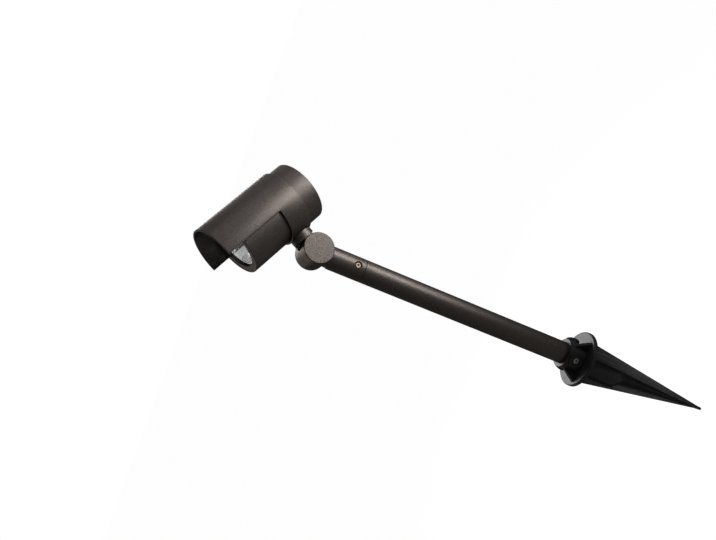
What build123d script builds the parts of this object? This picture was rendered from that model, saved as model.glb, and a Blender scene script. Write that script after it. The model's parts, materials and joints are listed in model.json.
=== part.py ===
"""Garden spike spotlight: a tilting, swivelling lamp canister with a half-round glare hood.

Millimetres, +Z up. The origin is on the pole's axis at ground level, under the spike's flange.
The head aims towards -X, and the knuckle turns about Y, with its plain face towards -Y.
"""

import os
from math import cos, radians, sin, sqrt

from build123d import *

# ---------------------------------------------------------------- driving dimensions

# Stance, as photographed
knuckle_height = 330.0  # ground to the knuckle's axis
aim_angle = 28.4  # head's axis above the horizontal, degrees
stem_rise = 21.9  # knuckle's axis to the underside of the sleeve

# Pole and the fitting that turns on it
pole_diameter = 25.0
pole_wall = 2.0
pole_edge_chamfer = 0.6
pole_below_ground = 40.0
fitting_length = 54.0  # knuckle's axis to the top of the pole
spigot_radius = 9.0  # part of the spigot inside the fitting
spigot_reach = 25.0
spigot_root = 22.0  # part of the spigot pressed into the pole
wire_way_radius = 4.0
swivel_screw_drop = 45.5  # knuckle's axis down to the lock screw
swivel_screw_radius = 2.5
swivel_recess_radius = 4.25
swivel_recess_depth = 1.4
lock_groove_depth = 1.5
lock_groove_width = 4.4
seal_drop = 36.0  # knuckle's axis down to the spigot's seal
seal_wire = 1.4
seal_groove_width = 1.68

# Knuckle
disc_radius = 16.5
knuckle_width = 32.0  # both half discs
disc_edge_fillet = 0.8
half_gap = 0.6  # between the two half discs
shoulder_gap = 0.4  # between a disc and the flat shoulder beside it
bolt_radius = 3.0
bolt_head_radius = 5.0
bolt_head_height = 4.0
bolt_head_sink = 1.5
bolt_head_room = 0.6  # round the head in its counterbore
bolt_end_depth = 9.5
bolt_washer_thickness = 1.2
bolt_boss_radius = 6.0
chamber_radius = 11.0  # ring-shaped space where the wires pass the bolt
chamber_depth = 7.5
knuckle_seal_radius = 13.4
knuckle_seal_wire = 1.76
knuckle_seal_depth = 1.32
knuckle_wire_radius = 2.8
knuckle_wire_shift = 4.6  # wire ways lie this far to each side of the middle

# Glare hood and its ring
sleeve_diameter = 71.0
sleeve_wall = 2.2
sleeve_length = 95.0
ring_length = 26.5  # closed part of the sleeve
hood_edge_drop = 4.7  # hood's cut edges below the head's axis
sleeve_edge_chamfer = 0.5
stem_screw_radius = 1.5
stem_screw_head_radius = 2.9
stem_screw_spread = 8.6
stem_screw_length = 6.0
canister_screw_radius = 2.0
canister_screw_length = 2.7

# Lamp canister
canister_setback = 20.0  # hood's front edge ahead of the canister's
canister_length = 95.0
canister_wall = 2.5
canister_back = 4.0
canister_back_fillet = 1.8
canister_edge_chamfer = 0.5
canister_travel = 10.0  # how far the canister slides forward in its sleeve
bezel_wall = 2.0  # canister's wall round the bezel
bezel_thickness = 2.2
bezel_sink = 0.4
bezel_face_width = 5.5
bezel_chamfer = 0.6
bezel_key_radius = 1.2
bezel_key_depth = 1.2
bezel_key_angle = 60.0
glass_thickness = 3.0
gasket_thickness = 0.6
gasket_width = 4.4
ledge_thickness = 3.0
gland_radius = 3.6
gland_shank_radius = 2.5
gland_bore_radius = 1.4
gland_length = 3.5
gland_lip = 1.2
gland_room = 0.9  # round the gland in its slot and pocket

# Reflector lamp, 50 mm, two pins 5.33 mm apart
lamp_edge_room = 5.8  # from the glass's edge in to the lamp's rim
lamp_rim = 2.6
lamp_shoulder = 0.8
lamp_sink = 0.2  # lamp's rim behind the glass
reflector_edge_width = 1.6
reflector_edge_depth = 1.0
reflector_throat = 5.4
reflector_depth = 29.0
reflector_wall = 1.5
facet_count = 48  # facets in each ring
facet_rings = 6
capsule_radius = 4.2
capsule_length = 17.0
base_length = 15.5
base_width = 9.5
base_height = 8.5
base_corner = 1.0
pin_radius = 0.75
pin_spacing = 5.33
pin_length = 7.0
holder_length = 22.0
holder_width = 12.0
holder_height = 10.0
holder_corner = 1.5
bracket_thickness = 1.0
bracket_width = 12.0
bracket_leg_spread = 12.5
bracket_foot_spread = 21.0
holder_screw_spread = 8.0
foot_screw_spread = 17.0
small_screw_radius = 1.25
small_screw_head = 2.3
small_screw_depth = 3.0

# Ground spike
flange_radius = 32.0
flange_thickness = 4.0
flange_fillet = 1.5
collar_height = 24.0
socket_wall = 3.85
socket_floor = 5.0
pad_radius = 8.0
pad_reach = 18.0  # pole's axis to the flat face of a pad
pad_height = 14.0
gusset_thickness = 3.0
gusset_height = 15.0
gusset_reach = 12.0
spike_length = 175.0
spike_tip = 12.0
spike_tip_half = 2.2
blade_half = 26.0
blade_thickness = 3.4
core_radius = 6.0
core_shoulder = 16.0  # socket's closed end down to the plain core
core_tip_radius = 1.6
spike_screw_radius = 3.0
spike_screw_length = 5.2
grommet_bore = 3.5
grommet_neck = 5.0
grommet_lip_radius = 5.8
grommet_lip = 1.3
grommet_flange_radius = 7.0
grommet_flange = 1.5

# Fits
seat_clearance = 0.05  # fixed pieces and threads
turning_clearance = 0.08  # spigot in the fitting
face_clearance = 0.2  # faces that turn on each other
sliding_clearance = 0.3  # canister in its sleeve
screw_tip_clearance = 0.1
hex_share = 0.5  # hex socket's width over the screw's or the head's width
blunt_point_share = 0.25  # chamfer of a flat-pointed grub screw over its radius
cone_point_share = 0.8  # chamfer of the cone-pointed lock screw over its radius

# ---------------------------------------------------------------- places worked out from them

aim = radians(aim_angle)
aim_dir = Vector(-cos(aim), 0, sin(aim))
up_dir = Vector(sin(aim), 0, cos(aim))
side_dir = Vector(0, 1, 0)

sleeve_radius = sleeve_diameter / 2
head_offset = sleeve_radius + stem_rise

knuckle = Vector(0, 0, knuckle_height)
head_centre = knuckle + up_dir * head_offset
head_axis = Axis(head_centre, aim_dir)
knuckle_axis = Axis(knuckle, side_dir)

pole_section = Plane.XZ
knuckle_section = Plane(origin=knuckle, x_dir=(0, 1, 0), z_dir=(1, 0, 0))
head_section = Plane(origin=head_centre, x_dir=aim_dir, z_dir=side_dir)
head_cross = Plane(origin=head_centre, x_dir=up_dir, z_dir=aim_dir)

pole_radius = pole_diameter / 2
pole_top = knuckle_height - fitting_length
half_gap_side = half_gap / 2
half_width = knuckle_width / 2
shoulder_rise = disc_radius + shoulder_gap

sleeve_bore = sleeve_radius - sleeve_wall
sleeve_back = -pole_radius
sleeve_front = sleeve_back + sleeve_length

canister_radius = sleeve_bore - sliding_clearance
canister_front = sleeve_front - canister_setback
canister_rear = canister_front - canister_length
bezel_front = canister_front - bezel_sink
glass_front = bezel_front - bezel_thickness
glass_back = glass_front - glass_thickness
ledge_front = glass_back - gasket_thickness
ledge_back = ledge_front - ledge_thickness
glass_seat_radius = canister_radius - bezel_wall
aperture_radius = glass_seat_radius - bezel_face_width
lamp_radius = glass_seat_radius - lamp_edge_room
reflector_mouth = lamp_radius - reflector_edge_width
lamp_front = glass_back - lamp_sink
lamp_back = lamp_front - reflector_depth - base_height
holder_back = lamp_back - face_clearance - holder_height
back_wall_face = canister_rear + canister_back
gland_at = -canister_travel / 2
gland_slot_length = canister_travel + 2 * (gland_radius + gland_room)
gland_slot_width = 2 * (gland_radius + gland_room)
gland_end = canister_radius + gland_length

socket_radius = pole_radius + seat_clearance
socket_outer = socket_radius + socket_wall


# ---------------------------------------------------------------- shared shapes

def outline(plane, *points):
    """A flat closed outline with straight sides, on the given plane."""
    with BuildSketch(plane) as shape:
        with BuildLine():
            Polyline(*points, close=True)
        make_face()
    return shape.sketch


def ring_section(plane, start, end, inner, outer):
    """The section of a ring that runs from start to end along the plane's x."""
    return outline(plane, (start, inner), (end, inner), (end, outer), (start, outer))


def grub_screw(mouth, radius, length, point):
    """A headless screw with a hex socket. Its outer end lies on the plane, its point is chamfered."""
    with BuildPart() as screw:
        with BuildSketch(mouth):
            Circle(radius)
        extrude(amount=-length)
        chamfer(screw.edges().sort_by(Axis(mouth.origin, mouth.z_dir))[0], length=point)
        with BuildSketch(mouth):
            RegularPolygon(radius * hex_share, 6, major_radius=False)
        extrude(amount=-length / 2, mode=Mode.SUBTRACT)
    return screw.part


def headed_screw(seat, radius, length, head_radius, head_height):
    """A screw with a hex socket in its head. The head stands on the plane, the shank runs back."""
    with BuildPart() as screw:
        with BuildSketch(seat):
            Circle(radius)
        extrude(amount=-length)
        with BuildSketch(seat):
            Circle(head_radius)
        extrude(amount=head_height)
        with BuildSketch(seat.offset(head_height)):
            RegularPolygon(head_radius * hex_share, 6, major_radius=False)
        extrude(amount=-head_height / 2, mode=Mode.SUBTRACT)
    return screw.part


def countersunk_screw(top, radius, length, head_radius):
    """A flat-headed screw with a 90 degree head. The head's flat lies on the plane."""
    head_depth = head_radius - radius
    with BuildPart() as screw:
        with BuildSketch(top):
            Circle(head_radius)
        with BuildSketch(top.offset(-head_depth)):
            Circle(radius)
        loft()
        with BuildSketch(top.offset(-head_depth)):
            Circle(radius)
        extrude(amount=head_depth - length)
        with BuildSketch(top):
            RegularPolygon(head_radius * hex_share * hex_share, 6, major_radius=False)
        extrude(amount=-head_depth, mode=Mode.SUBTRACT)
    return screw.part


def outward(angle):
    """The level direction at this angle from +X."""
    return Vector(cos(radians(angle)), sin(radians(angle)), 0)


# ---------------------------------------------------------------- ground spike and pole

pad_centre = Vector(0, 0, pad_height)
grommet_angle = 0.0
screw_angles = (120.0, 240.0)
gusset_angles = (60.0, 180.0, 300.0)
blade_end = spike_tip - spike_length
socket_end = -pole_below_ground - socket_floor

with BuildPart() as ground_spike:
    with BuildSketch(Plane.XY):
        Circle(flange_radius)
    extrude(amount=flange_thickness)
    fillet(ground_spike.edges().sort_by(Axis.Z)[-1], radius=flange_fillet)

    # Driven part: four tapering blades round a core, under the closed socket
    for blade_plane in (Plane.XZ, Plane.YZ):
        blade = outline(
            blade_plane,
            (-blade_half, 0),
            (blade_half, 0),
            (spike_tip_half, blade_end),
            (0, -spike_length),
            (-spike_tip_half, blade_end),
        )
        extrude(blade, amount=blade_thickness / 2, both=True)
    core = outline(
        pole_section,
        (0, 0),
        (socket_outer, 0),
        (socket_outer, socket_end),
        (core_radius, socket_end - core_shoulder),
        (core_tip_radius, blade_end),
        (0, blade_end),
    )
    revolve(core, axis=Axis.Z)

    # Collar above the ground, with three flat pads and three gussets
    with BuildSketch(Plane.XY):
        Circle(socket_outer)
    extrude(amount=collar_height)
    for angle in (grommet_angle, *screw_angles):
        with BuildSketch(Plane(origin=pad_centre, z_dir=outward(angle))):
            Circle(pad_radius)
        extrude(amount=pad_reach)
    for angle in gusset_angles:
        gusset_plane = Plane(origin=(0, 0, flange_thickness), x_dir=outward(angle), z_dir=outward(angle - 90))
        gusset = outline(
            gusset_plane,
            (0, 0),
            (socket_outer + gusset_reach, 0),
            (socket_outer, gusset_height),
            (0, gusset_height),
        )
        extrude(gusset, amount=gusset_thickness / 2, both=True)

    # Socket for the pole, and the holes through the pads
    with BuildSketch(Plane.XY.offset(-pole_below_ground)):
        Circle(socket_radius)
    extrude(amount=pole_below_ground + collar_height, mode=Mode.SUBTRACT)
    with BuildSketch(Plane(origin=pad_centre, z_dir=outward(grommet_angle))):
        Circle(grommet_neck + seat_clearance)
    extrude(amount=pad_reach, mode=Mode.SUBTRACT)
    for angle in screw_angles:
        with BuildSketch(Plane(origin=pad_centre, z_dir=outward(angle))):
            Circle(spike_screw_radius + seat_clearance)
        extrude(amount=pad_reach, mode=Mode.SUBTRACT)

with BuildPart() as pole_tube:
    with BuildSketch(Plane.XY.offset(-pole_below_ground)):
        Circle(pole_radius)
        Circle(pole_radius - pole_wall, mode=Mode.SUBTRACT)
    extrude(amount=pole_below_ground + pole_top)
    rim = pole_tube.edges().filter_by(GeomType.CIRCLE).group_by(Axis.Z)[-1].sort_by(SortBy.RADIUS)[-1]
    chamfer(rim, length=pole_edge_chamfer)
    with BuildSketch(Plane(origin=pad_centre, z_dir=outward(grommet_angle))):
        Circle(grommet_neck + seat_clearance)
    extrude(amount=pad_reach, mode=Mode.SUBTRACT)

grommet_plane = Plane(origin=pad_centre, x_dir=outward(grommet_angle), z_dir=(0, -1, 0))
inner_wall_at_lip = sqrt((pole_radius - pole_wall) ** 2 - grommet_lip_radius**2)
lip_face = inner_wall_at_lip - sliding_clearance / 2

with BuildPart() as cable_grommet:
    grommet = outline(
        grommet_plane,
        (lip_face - grommet_lip, grommet_bore),
        (pad_reach + grommet_flange, grommet_bore),
        (pad_reach + grommet_flange, grommet_flange_radius),
        (pad_reach, grommet_flange_radius),
        (pad_reach, grommet_neck),
        (lip_face, grommet_neck),
        (lip_face, grommet_lip_radius),
        (lip_face - grommet_lip, grommet_lip_radius),
    )
    revolve(grommet, axis=Axis(pad_centre, outward(grommet_angle)))
    flange_rim = cable_grommet.edges().filter_by(GeomType.CIRCLE).sort_by(Axis.X)[-1]
    fillet(flange_rim, radius=grommet_flange / 2)

spike_screws = [
    grub_screw(
        Plane(
            origin=pad_centre + outward(angle) * (pole_radius + seat_clearance + spike_screw_length),
            z_dir=outward(angle),
        ),
        spike_screw_radius,
        spike_screw_length,
        point=spike_screw_radius * blunt_point_share,
    )
    for angle in screw_angles
]
with BuildPart() as spike_lock_screws:
    add(spike_screws)

spigot_top = pole_top + spigot_reach
lock_height = knuckle_height - swivel_screw_drop
seal_height = knuckle_height - seal_drop
lock_floor = spigot_radius - lock_groove_depth
seal_floor = spigot_radius + turning_clearance - seal_wire - seat_clearance
seal_groove_half = seal_groove_width / 2

with BuildPart() as pole_spigot:
    spigot = outline(
        pole_section,
        (wire_way_radius, pole_top - spigot_root),
        (pole_radius - pole_wall - seat_clearance, pole_top - spigot_root),
        (pole_radius - pole_wall - seat_clearance, pole_top),
        (spigot_radius, pole_top),
        (spigot_radius, lock_height - lock_groove_width / 2),
        (lock_floor, lock_height - lock_groove_width / 2 + lock_groove_depth),
        (lock_floor, lock_height + lock_groove_width / 2 - lock_groove_depth),
        (spigot_radius, lock_height + lock_groove_width / 2),
        (spigot_radius, seal_height - seal_groove_half),
        (seal_floor, seal_height - seal_groove_half),
        (seal_floor, seal_height + seal_groove_half),
        (spigot_radius, seal_height + seal_groove_half),
        (spigot_radius, spigot_top),
        (wire_way_radius, spigot_top),
    )
    revolve(spigot, axis=Axis.Z)

with BuildPart() as spigot_seal:
    with BuildSketch(pole_section):
        with Locations((seal_floor + seal_wire / 2 + seat_clearance / 2, seal_height)):
            Circle(seal_wire / 2)
    revolve(axis=Axis.Z)


# ---------------------------------------------------------------- fitting with the near half disc

near_face = Plane(origin=knuckle - side_dir * half_gap_side, x_dir=(1, 0, 0), z_dir=-side_dir)
far_face = Plane(origin=knuckle + side_dir * half_gap_side, x_dir=(1, 0, 0), z_dir=side_dir)
disc_thickness = half_width - half_gap_side
wire_way_start = (bolt_boss_radius + chamber_radius) / 2
lock_mouth = Plane(origin=(0, -pole_radius, lock_height), z_dir=-side_dir)

with BuildPart() as pole_fitting:
    with BuildSketch(Plane.XY.offset(pole_top + face_clearance)):
        Circle(pole_radius)
    extrude(amount=fitting_length - face_clearance)
    with BuildSketch(Plane(near_face.origin, x_dir=(1, 0, 0), z_dir=side_dir)):
        Rectangle(2 * shoulder_rise, 2 * shoulder_rise)
    extrude(amount=half_width, mode=Mode.SUBTRACT)
    with BuildSketch(near_face):
        Circle(disc_radius)
    extrude(amount=disc_thickness)
    fillet(pole_fitting.edges().filter_by(GeomType.CIRCLE).sort_by(Axis.Y)[0], radius=disc_edge_fillet)

    # Wire chamber round the bolt's boss, seal groove and threaded hole
    with BuildSketch(near_face):
        Circle(chamber_radius)
        Circle(bolt_boss_radius, mode=Mode.SUBTRACT)
    extrude(amount=chamber_depth, mode=Mode.SUBTRACT)
    with BuildSketch(near_face):
        Circle(knuckle_seal_radius + knuckle_seal_depth)
        Circle(knuckle_seal_radius - knuckle_seal_depth, mode=Mode.SUBTRACT)
    extrude(amount=knuckle_seal_depth, mode=Mode.SUBTRACT)
    with BuildSketch(near_face):
        Circle(bolt_radius + seat_clearance)
    extrude(amount=bolt_end_depth, mode=Mode.SUBTRACT)

    # Socket for the spigot, and the wire way from it to the chamber
    with BuildSketch(Plane.XY.offset(pole_top)):
        Circle(spigot_radius + turning_clearance)
    extrude(amount=spigot_reach + face_clearance, mode=Mode.SUBTRACT)
    with BuildSketch(Plane((0, -knuckle_wire_shift, knuckle_height - wire_way_start), z_dir=(0, 0, -1))):
        Circle(knuckle_wire_radius)
    extrude(amount=fitting_length - spigot_reach - wire_way_start, mode=Mode.SUBTRACT)

    # Round recess and threaded hole of the lock screw
    with Locations(lock_mouth):
        CounterBoreHole(
            radius=swivel_screw_radius + seat_clearance,
            counter_bore_radius=swivel_recess_radius,
            counter_bore_depth=swivel_recess_depth,
            depth=pole_radius - lock_floor,
        )

swivel_screw_top = pole_radius - swivel_recess_depth + sliding_clearance
swivel_screw_tip = lock_floor + sliding_clearance
swivel_screw = grub_screw(
    Plane(origin=(0, -swivel_screw_top, lock_height), z_dir=-side_dir),
    swivel_screw_radius,
    swivel_screw_top - swivel_screw_tip,
    point=swivel_screw_radius * cone_point_share,
)
with BuildPart() as swivel_lock_screw:
    add(swivel_screw)

with BuildPart() as knuckle_seal:
    with BuildSketch(knuckle_section):
        seal_centre = knuckle_seal_wire / 2 + seat_clearance - half_gap_side - knuckle_seal_depth
        with Locations((seal_centre, knuckle_seal_radius)):
            Circle(knuckle_seal_wire / 2)
    revolve(axis=knuckle_axis)

with BuildPart() as friction_washer:
    washer_half = half_gap_side - seat_clearance
    washer = ring_section(
        knuckle_section,
        -washer_half,
        washer_half,
        bolt_radius + seat_clearance,
        bolt_boss_radius - seat_clearance,
    )
    revolve(washer, axis=knuckle_axis)

bolt_floor = half_width - bolt_head_sink - bolt_head_height - bolt_washer_thickness
bolt_seat = Plane(knuckle + side_dir * (bolt_floor + bolt_washer_thickness), z_dir=side_dir)
bolt = headed_screw(
    bolt_seat,
    bolt_radius,
    bolt_floor + bolt_washer_thickness + bolt_end_depth,
    bolt_head_radius,
    bolt_head_height,
)
with BuildPart() as knuckle_bolt:
    add(bolt)

with BuildPart() as bolt_washer:
    spring_washer = ring_section(
        knuckle_section,
        bolt_floor + seat_clearance,
        bolt_floor + bolt_washer_thickness - seat_clearance,
        bolt_radius + seat_clearance,
        bolt_head_radius,
    )
    revolve(spring_washer, axis=knuckle_axis)


# ---------------------------------------------------------------- head: stem, hood sleeve and screws

stem_plane = Plane(knuckle, x_dir=aim_dir, z_dir=up_dir)
below_axis = Plane(head_centre, x_dir=aim_dir, z_dir=-up_dir)
stem_screw_top = sqrt(canister_radius**2 - (stem_screw_spread - stem_screw_radius) ** 2) + sliding_clearance
pocket_floor = gland_end + gland_room
ring_middle = sleeve_back + ring_length / 2
canister_screw_mouth = canister_radius + screw_tip_clearance + canister_screw_length

with BuildPart() as head_stem:
    with BuildSketch(stem_plane):
        Circle(pole_radius)
    extrude(amount=head_offset)
    with BuildSketch(Plane(far_face.origin, x_dir=aim_dir, z_dir=-side_dir)):
        Rectangle(2 * shoulder_rise, 2 * shoulder_rise)
    extrude(amount=half_width, mode=Mode.SUBTRACT)
    with BuildSketch(head_cross.offset(sleeve_back - pole_radius)):
        Circle(sleeve_radius + seat_clearance)
    extrude(amount=sleeve_length, mode=Mode.SUBTRACT)
    with BuildSketch(far_face):
        Circle(disc_radius)
    extrude(amount=disc_thickness)
    fillet(head_stem.edges().filter_by(GeomType.CIRCLE).sort_by(Axis.Y)[-1], radius=disc_edge_fillet)

    # Wire chamber, bolt hole and counterbore
    with BuildSketch(far_face):
        Circle(chamber_radius)
        Circle(bolt_boss_radius, mode=Mode.SUBTRACT)
    extrude(amount=chamber_depth, mode=Mode.SUBTRACT)
    with Locations(Plane(knuckle + side_dir * half_width, z_dir=side_dir)):
        CounterBoreHole(
            radius=bolt_radius + seat_clearance,
            counter_bore_radius=bolt_head_radius + bolt_head_room,
            counter_bore_depth=half_width - bolt_floor,
            depth=knuckle_width,
        )

    # Pocket that the wire gland slides in, and the wire way from it to the chamber
    with BuildSketch(below_axis):
        SlotOverall(gland_slot_length, gland_slot_width)
    extrude(amount=pocket_floor, mode=Mode.SUBTRACT)
    with BuildSketch(Plane(knuckle + side_dir * knuckle_wire_shift, z_dir=up_dir).offset(wire_way_start)):
        Circle(knuckle_wire_radius)
    extrude(amount=head_offset - pocket_floor - wire_way_start, mode=Mode.SUBTRACT)

    # Threaded holes under the ring
    for side in (-1, 1):
        with BuildSketch(Plane(head_centre + side_dir * side * stem_screw_spread, z_dir=-up_dir)):
            Circle(stem_screw_radius + seat_clearance)
        extrude(amount=stem_screw_top + stem_screw_length, mode=Mode.SUBTRACT)

with BuildPart() as hood_sleeve:
    with BuildSketch(head_cross.offset(sleeve_back)):
        Circle(sleeve_radius)
        Circle(sleeve_bore, mode=Mode.SUBTRACT)
    extrude(amount=sleeve_length)
    ends = hood_sleeve.edges().filter_by(GeomType.CIRCLE).group_by(head_axis)
    chamfer(ends[0] + ends[-1], length=sleeve_edge_chamfer)

    # The lower half is cut away in front of the ring
    with BuildSketch(head_cross.offset(sleeve_back + ring_length)):
        with Locations((-hood_edge_drop - sleeve_radius, 0)):
            Rectangle(2 * sleeve_radius, 3 * sleeve_radius)
    extrude(amount=sleeve_length, mode=Mode.SUBTRACT)

    # Slot for the wire gland, countersunk holes and the lock screw's hole
    with BuildSketch(below_axis):
        SlotOverall(gland_slot_length, gland_slot_width)
    extrude(amount=sleeve_diameter, mode=Mode.SUBTRACT)
    for side in (-1, 1):
        head_top = head_centre + side_dir * side * stem_screw_spread - up_dir * stem_screw_top
        with Locations(Plane(head_top, z_dir=up_dir)):
            CounterSinkHole(
                radius=stem_screw_radius + seat_clearance,
                counter_sink_radius=stem_screw_head_radius + seat_clearance,
                depth=stem_screw_length,
                counter_sink_angle=90,
            )
    with BuildSketch(Plane(head_centre + aim_dir * ring_middle, z_dir=side_dir)):
        Circle(canister_screw_radius + seat_clearance)
    extrude(amount=sleeve_diameter, mode=Mode.SUBTRACT)

stem_screw_pair = [
    countersunk_screw(
        Plane(head_centre + side_dir * side * stem_screw_spread - up_dir * stem_screw_top, z_dir=up_dir),
        stem_screw_radius,
        stem_screw_length,
        stem_screw_head_radius,
    )
    for side in (-1, 1)
]
with BuildPart() as stem_screws:
    add(stem_screw_pair)

canister_screw = grub_screw(
    Plane(head_centre + aim_dir * ring_middle + side_dir * canister_screw_mouth, z_dir=side_dir),
    canister_screw_radius,
    canister_screw_length,
    point=canister_screw_radius * blunt_point_share,
)
with BuildPart() as canister_lock_screw:
    add(canister_screw)


# ---------------------------------------------------------------- canister and its front

canister_bore = canister_radius - canister_wall
ledge_radius = lamp_radius + sliding_clearance
gland_axis = Axis(head_centre + aim_dir * gland_at, up_dir)
gland_bottom = Plane(gland_axis.position, z_dir=-up_dir)
lip_top = sqrt(canister_bore**2 - (gland_shank_radius + gland_lip) ** 2) - sliding_clearance / 2

with BuildPart() as canister_body:
    cup = outline(
        head_section,
        (canister_rear, 0),
        (canister_rear, canister_radius),
        (canister_front, canister_radius),
        (canister_front, glass_seat_radius),
        (ledge_front, glass_seat_radius),
        (ledge_front, ledge_radius),
        (ledge_back, ledge_radius),
        (ledge_back, canister_bore),
        (back_wall_face, canister_bore),
        (back_wall_face, 0),
    )
    revolve(cup, axis=head_axis)
    rims = canister_body.edges().filter_by(GeomType.CIRCLE).group_by(head_axis)
    fillet(rims[0], radius=canister_back_fillet)
    outer_rim = canister_body.edges().filter_by(GeomType.CIRCLE).group_by(head_axis)[-1]
    chamfer(outer_rim.sort_by(SortBy.RADIUS)[-1], length=canister_edge_chamfer)
    with BuildSketch(gland_bottom):
        Circle(gland_shank_radius + seat_clearance)
    extrude(amount=sleeve_diameter, mode=Mode.SUBTRACT)
    with BuildSketch(head_cross.offset(back_wall_face)):
        with Locations((-foot_screw_spread, 0), (foot_screw_spread, 0)):
            Circle(small_screw_radius + seat_clearance)
    extrude(amount=-small_screw_depth - seat_clearance, mode=Mode.SUBTRACT)

with BuildPart() as front_bezel:
    bezel = ring_section(
        head_section,
        glass_front,
        bezel_front,
        aperture_radius,
        glass_seat_radius - seat_clearance,
    )
    revolve(bezel, axis=head_axis)
    front_edges = front_bezel.edges().filter_by(GeomType.CIRCLE).group_by(head_axis)[-1]
    chamfer(front_edges.sort_by(SortBy.RADIUS)[0], length=bezel_chamfer)
    with BuildSketch(head_cross.offset(bezel_front)):
        with PolarLocations((aperture_radius + glass_seat_radius) / 2, 2, start_angle=bezel_key_angle):
            Circle(bezel_key_radius)
    extrude(amount=-bezel_key_depth, mode=Mode.SUBTRACT)

with BuildPart() as front_glass:
    with BuildSketch(head_cross.offset(glass_back)):
        Circle(glass_seat_radius - 2 * seat_clearance)
    extrude(amount=glass_thickness)

with BuildPart() as glass_gasket:
    gasket_outer = glass_seat_radius - 2 * seat_clearance
    gasket = ring_section(head_section, ledge_front, glass_back, gasket_outer - gasket_width, gasket_outer)
    revolve(gasket, axis=head_axis)

with BuildPart() as wire_gland:
    gland = outline(
        Plane(gland_axis.position, x_dir=aim_dir, z_dir=side_dir),
        (gland_bore_radius, -gland_end),
        (gland_radius, -gland_end),
        (gland_radius, -canister_radius - seat_clearance),
        (gland_shank_radius, -canister_radius - seat_clearance),
        (gland_shank_radius, -lip_top),
        (gland_shank_radius + gland_lip, -lip_top),
        (gland_shank_radius + gland_lip, gland_lip - lip_top),
        (gland_bore_radius, gland_lip - lip_top),
    )
    revolve(gland, axis=gland_axis)


# ---------------------------------------------------------------- lamp and its holder

throat_plane_depth = reflector_depth + reflector_wall
parabola_rate = (reflector_mouth**2 - reflector_throat**2) / (reflector_depth - reflector_edge_depth)
rim_shoulder = lamp_radius - lamp_shoulder
shoulder_depth = lamp_rim + lamp_shoulder
neck_radius = reflector_throat + reflector_wall


def parabola(start, end):
    """The curve between two points (along, radius) of a parabola about the head's axis."""
    rate = (start[1] ** 2 - end[1] ** 2) / (start[0] - end[0])
    middle = start[0] + (start[1] * end[1] - start[1] ** 2) / rate
    return Bezier(start, (middle, (start[1] + end[1]) / 2), end)


with BuildPart() as lamp_reflector:
    with BuildSketch(head_section):
        with BuildLine():
            back = lamp_front - throat_plane_depth
            Polyline(
                (back, neck_radius),
                (back, 0),
                (lamp_front, 0),
                (lamp_front, lamp_radius),
                (lamp_front - lamp_rim, lamp_radius),
                (lamp_front - shoulder_depth, rim_shoulder),
            )
            parabola((lamp_front - shoulder_depth, rim_shoulder), (back, neck_radius))
        make_face()
    revolve(axis=head_axis)

    # Hollow of flat facets, ring by ring down the parabola
    with BuildSketch(head_cross.offset(lamp_front)):
        Circle(reflector_mouth)
    extrude(amount=-reflector_edge_depth, mode=Mode.SUBTRACT)
    for ring in range(facet_rings + 1):
        radius = reflector_mouth + (reflector_throat - reflector_mouth) * ring / facet_rings
        depth = reflector_edge_depth + (reflector_mouth**2 - radius**2) / parabola_rate
        with BuildSketch(head_cross.offset(lamp_front - depth)):
            RegularPolygon(radius, facet_count)
    loft(ruled=True, mode=Mode.SUBTRACT)
    throat_radius = reflector_throat - 2 * seat_clearance
    with BuildSketch(head_cross.offset(lamp_front - reflector_depth)):
        Circle(throat_radius)
    extrude(amount=-2 * reflector_wall, mode=Mode.SUBTRACT)

capsule_back = lamp_front - reflector_depth + reflector_wall
capsule_tip = capsule_back + capsule_length
with BuildPart() as lamp_capsule:
    with BuildSketch(head_section):
        with BuildLine():
            bend = capsule_tip - capsule_radius
            Polyline(
                (capsule_tip, 0),
                (capsule_back, 0),
                (capsule_back, capsule_radius),
                (bend, capsule_radius),
            )
            TangentArc((bend, capsule_radius), (capsule_tip, 0), tangent=(1, 0))
        make_face()
    revolve(axis=head_axis)

with BuildPart() as lamp_base:
    with BuildSketch(head_cross.offset(lamp_back)):
        Rectangle(base_length, base_width)
    extrude(amount=base_height - reflector_wall)
    fillet(lamp_base.edges().filter_by(head_axis), radius=base_corner)
    with BuildSketch(head_cross.offset(lamp_back)):
        Circle(throat_radius - seat_clearance)
    extrude(amount=capsule_back - lamp_back)

with BuildPart() as lamp_pins:
    with BuildSketch(head_cross.offset(lamp_back)):
        with Locations((-pin_spacing / 2, 0), (pin_spacing / 2, 0)):
            Circle(pin_radius)
    extrude(amount=-pin_length)

with BuildPart() as lampholder:
    with BuildSketch(head_cross.offset(holder_back)):
        Rectangle(holder_length, holder_width)
    extrude(amount=holder_height)
    fillet(lampholder.edges().filter_by(head_axis), radius=holder_corner)
    with BuildSketch(head_cross.offset(holder_back + holder_height)):
        with Locations((-pin_spacing / 2, 0), (pin_spacing / 2, 0)):
            Circle(pin_radius + seat_clearance)
    extrude(amount=-pin_length, mode=Mode.SUBTRACT)
    with BuildSketch(head_cross.offset(holder_back)):
        with Locations((-holder_screw_spread, 0), (holder_screw_spread, 0)):
            Circle(small_screw_radius + seat_clearance)
    extrude(amount=small_screw_depth + seat_clearance, mode=Mode.SUBTRACT)

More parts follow.
